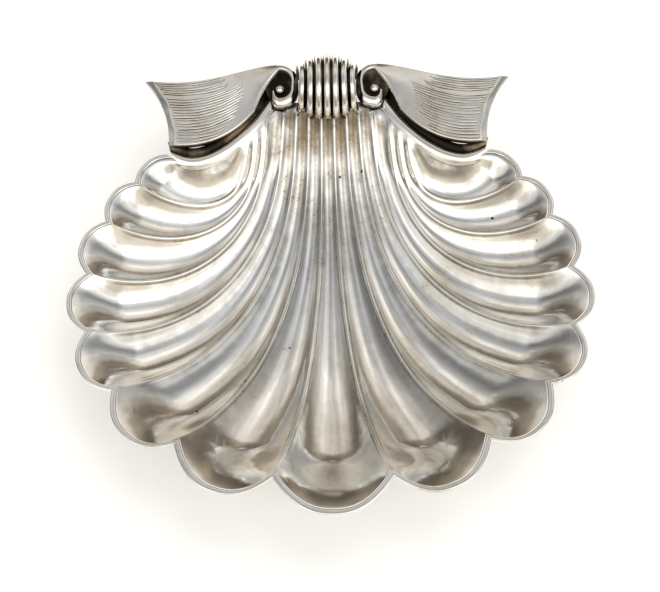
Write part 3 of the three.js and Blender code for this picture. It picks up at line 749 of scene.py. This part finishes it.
def rib_pitch(angle):
    end = RIB_TIP_PITCH if math.cos(angle) < 0 else RIB_BACK_PITCH
    return mix(RIB_TOP_PITCH, end, math.cos(angle) ** 2)


def knob_radius(x):
    return KNOB_RADIUS - KNOB_SIDE_LOSS * (x / RIB_HALF_SPAN) ** 2


def rib_ring(place, angle, drop, fullness):
    """Section of a rib at an angle round the knob, from 0 at the back to a half turn at the tip."""
    cosine, sine = squared(np.linspace(0, math.pi, RIB_SIDES), RIB_SQUARENESS)
    width = rib_pitch(angle) - RIB_GAP
    x = place * rib_pitch(angle)
    bulb = 1 + RIB_BULB * smooth((angle - 0.8 * math.pi) / (0.15 * math.pi))
    radius = knob_radius(max(0.0, abs(x) - width / 2))
    out = radius - RIB_THICKNESS + RIB_THICKNESS * sine * fullness * bulb
    height = RIB_TIP_HEIGHT + out * math.sin(angle) - drop
    return np.column_stack([x + width / 2 * fullness * bulb * cosine, KNOB_Y + out * math.cos(angle), height])


def rib_piece(number, material):
    place = number - (RIB_COUNT - 1) / 2
    rings = [rib_ring(place, 0.0, RIB_BACK_DROP, 1.0)]
    for angle in np.linspace(0, math.pi, ARCH_STEPS):
        rings.append(rib_ring(place, angle, 0.0, 1.0))
    for angle in np.linspace(0, math.pi / 2, RIB_SIDES // 2)[1:-1]:
        drop = (RIB_TIP_PITCH - RIB_GAP) / 2 * math.sin(angle)
        rings.append(rib_ring(place, math.pi, drop, math.cos(angle)))
    points, faces = loft(rings)
    turn = np.linspace(0, math.pi, RIB_SIDES)
    # Tarnish and painted shade where the sides of each rib come down to the core beside the next rib
    tarnish_and_shade = np.tile(smooth((np.abs(np.cos(turn)) - 0.8) / 0.2), len(rings))
    name = f"rib_wire_{number + 1}"
    make_piece(name, points, faces, material, f"binding_rib_{number + 1}", tarnish_and_shade, 70)


def core_piece(material):
    """The block below the ribs, near-black with tarnish and painted shade between the ribs."""
    half = SCROLL_X - SCROLL_INNER - CLEARANCE
    arch = np.linspace(0, math.pi, ARCH_STEPS)
    low = RIB_TIP_HEIGHT - RIB_BACK_DROP
    rings = []
    for x in np.linspace(-half, half, CORE_SLICES):
        radius = knob_radius(x) - RIB_THICKNESS - CLEARANCE
        step = max(HINGE_Y + CLEARANCE, KNOB_Y - radius + CORE_LIP)
        y = np.append(KNOB_Y + radius * np.cos(arch), [step, step, KNOB_Y + radius])
        z = np.append(RIB_TIP_HEIGHT + radius * np.sin(arch), [RIB_TIP_HEIGHT, low, low])
        rings.append(np.column_stack([np.full(len(y), x), y, z])[: len(y) // 2 * 2])
    points, faces = loft(rings)
    make_piece("knob_core", points, faces, material, "umbo_core", 1.0)


# Feet

def foot_piece(node, material):
    low, high = (np.array(corner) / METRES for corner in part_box(node))
    height = high[2] - low[2]
    middle = math.sqrt(FOOT_RADIUS ** 2 - FOOT_BASE_RADIUS ** 2)
    start = -math.acos(FOOT_BASE_RADIUS / FOOT_RADIUS)
    room = min(1.0, (height - FOOT_COLLAR - middle) / FOOT_RADIUS)
    end = min(math.acos(FOOT_PAD_RADIUS / FOOT_RADIUS), math.asin(room))
    profile = []
    for angle in np.linspace(start, end, ROUND_STEPS // 2):
        profile.append((FOOT_RADIUS * math.cos(angle), middle + FOOT_RADIUS * math.sin(angle)))
    profile.append((FOOT_PAD_RADIUS, height))
    points, faces = turned(profile)
    points = points + np.array([(low[0] + high[0]) / 2, (low[1] + high[1]) / 2 - Y_SHIFT, 0])
    make_piece("ball_" + node, points, faces, material, node, 0.2)


# Stage

def add_floor():
    mesh = bpy.data.meshes.new("floor")
    corners = [(-FLOOR_SIZE, -FLOOR_SIZE, 0), (FLOOR_SIZE, -FLOOR_SIZE, 0)]
    corners += [(FLOOR_SIZE, FLOOR_SIZE, 0), (-FLOOR_SIZE, FLOOR_SIZE, 0)]
    mesh.from_pydata(corners, [], [(0, 1, 2, 3)])
    floor = bpy.data.objects.new("floor", mesh)
    floor.location.z = -FLOOR_GAP
    bpy.context.scene.collection.objects.link(floor)
    material = bpy.data.materials.new("floor_paper")
    material.use_nodes = True
    tree = material.node_tree
    path = add_node(tree, "ShaderNodeLightPath").outputs
    seen = calc(tree, "MAXIMUM", path["Is Camera Ray"], path["Is Glossy Ray"])
    seen = calc(tree, "MAXIMUM", seen, path["Is Transmission Ray"])
    shader = tree.nodes["Principled BSDF"]
    shader.inputs["Base Color"].default_value = (*FLOOR_COLOUR, 1)
    shader.inputs["Roughness"].default_value = 0.9
    shader.inputs["Specular IOR Level"].default_value = 0.1
    shader.inputs["Emission Color"].default_value = (*FLOOR_COLOUR, 1)
    tree.links.new(calc(tree, "MULTIPLY", seen, FLOOR_LIFT), shader.inputs["Emission Strength"])
    mesh.materials.append(material)


def add_world():
    """A soft studio: bright in front and above, darker and warmer low behind."""
    world = bpy.data.worlds.new("studio")
    bpy.context.scene.world = world
    world.use_nodes = True
    tree = world.node_tree
    tree.nodes.clear()
    way = add_node(tree, "ShaderNodeTexCoord").outputs["Generated"]
    part = add_node(tree, "ShaderNodeSeparateXYZ", {"Vector": way}).outputs
    tilt = calc(tree, "ARCTAN2", calc(tree, "MULTIPLY", part["Y"], -1.0), part["Z"])
    ramp = add_node(tree, "ShaderNodeValToRGB", {"Fac": calc(tree, "MULTIPLY_ADD", tilt, 0.5 / math.pi, 0.5)})
    ramp.color_ramp.interpolation = "EASE"
    stops = ramp.color_ramp.elements
    while len(stops) < len(SKY):
        stops.new(0.5)
    for stop, (angle, colour) in zip(stops, SKY):
        stop.position = angle / 360 + 0.5
        stop.color = (*(value * SKY_SCALE for value in colour), 1)
    sideways = calc(tree, "ABSOLUTE", part["X"])
    card = calc(tree, "MULTIPLY", between(tree, sideways, 0.2, 0.42), between(tree, sideways, 0.72, 0.5))
    strength = calc(tree, "MULTIPLY_ADD", card, SIDE_CARDS, 1.0)
    strength = calc(tree, "MULTIPLY", strength, between(tree, sideways, 0.6, 1.0, 1.0, 0.45))
    strength = calc(tree, "MULTIPLY", strength, between(tree, part["X"], -1.0, 1.0, 0.8, 1.2))
    uneven = between(tree, noise(tree, way, 2.6, 3.0), 0.3, 0.7, 0.75, 1.25)
    strength = calc(tree, "MULTIPLY", strength, uneven)
    strength = calc(tree, "MULTIPLY", strength, 1 / SKY_SCALE)
    lit = add_node(tree, "ShaderNodeBackground", {"Color": ramp.outputs["Color"], "Strength": strength})
    output = add_node(tree, "ShaderNodeOutputWorld")
    tree.links.new(lit.outputs["Background"], output.inputs["Surface"])


def add_lamp():
    """A large soft lamp from above and behind, which gives the floor its shadow."""
    data = bpy.data.lights.new("key", "AREA")
    data.shape = "DISK"
    data.size = LAMP_SIZE
    data.energy = LAMP_POWER
    data.color = LAMP_COLOUR
    lamp = bpy.data.objects.new("key", data)
    lamp.location = LAMP_PLACE
    lamp.rotation_euler = (-Vector(LAMP_PLACE)).to_track_quat("-Z", "Y").to_euler()
    lamp.visible_glossy = False
    bpy.context.scene.collection.objects.link(lamp)


def add_camera():
    data = bpy.data.cameras.new("camera")
    data.lens = LENS
    data.sensor_width = 36.0
    data.shift_x = -TARGET_PIXEL_SHIFT[0] / IMAGE_WIDTH
    data.shift_y = TARGET_PIXEL_SHIFT[1] / IMAGE_WIDTH
    camera = bpy.data.objects.new("camera", data)
    target = Vector((0, Y_SHIFT, RIM_HEIGHT)) * METRES
    back = Vector((0, -math.cos(CAMERA_ELEVATION), math.sin(CAMERA_ELEVATION)))
    aim = back.to_track_quat("Z", "Y").to_matrix()
    turn = aim @ Matrix.Rotation(-CAMERA_ROLL, 3, "Z")
    camera.matrix_world = Matrix.Translation(target + back * CAMERA_DISTANCE) @ turn.to_4x4()
    bpy.context.scene.collection.objects.link(camera)
    bpy.context.scene.camera = camera


def build():
    random = np.random.default_rng(7)
    polished = silver_material("polished_silver", 0.35, 0.13)
    engraved = silver_material("engraved_silver", 0.3, 0.17)
    # A darker copy of the silver, tarnish with painted shade, for the scroll floors and the knob's core
    shaded_tarnish = silver_material("tarnished_silver", 0.9, 0.34)
    bowl_piece(polished)
    rim_piece(polished)
    for side in (1, -1):
        ear_piece(side, engraved, random)
        scroll_floor_piece(side, shaded_tarnish)
        bead_piece(side, polished)
    for number in range(RIB_COUNT):
        rib_piece(number, polished)
    for node in ("foot_front_right", "foot_front_left", "foot_back"):
        foot_piece(node, polished)
    core_piece(shaded_tarnish)
    add_floor()
    add_world()
    add_lamp()
    add_camera()
    bpy.context.scene.view_settings.view_transform = "Standard"


build()
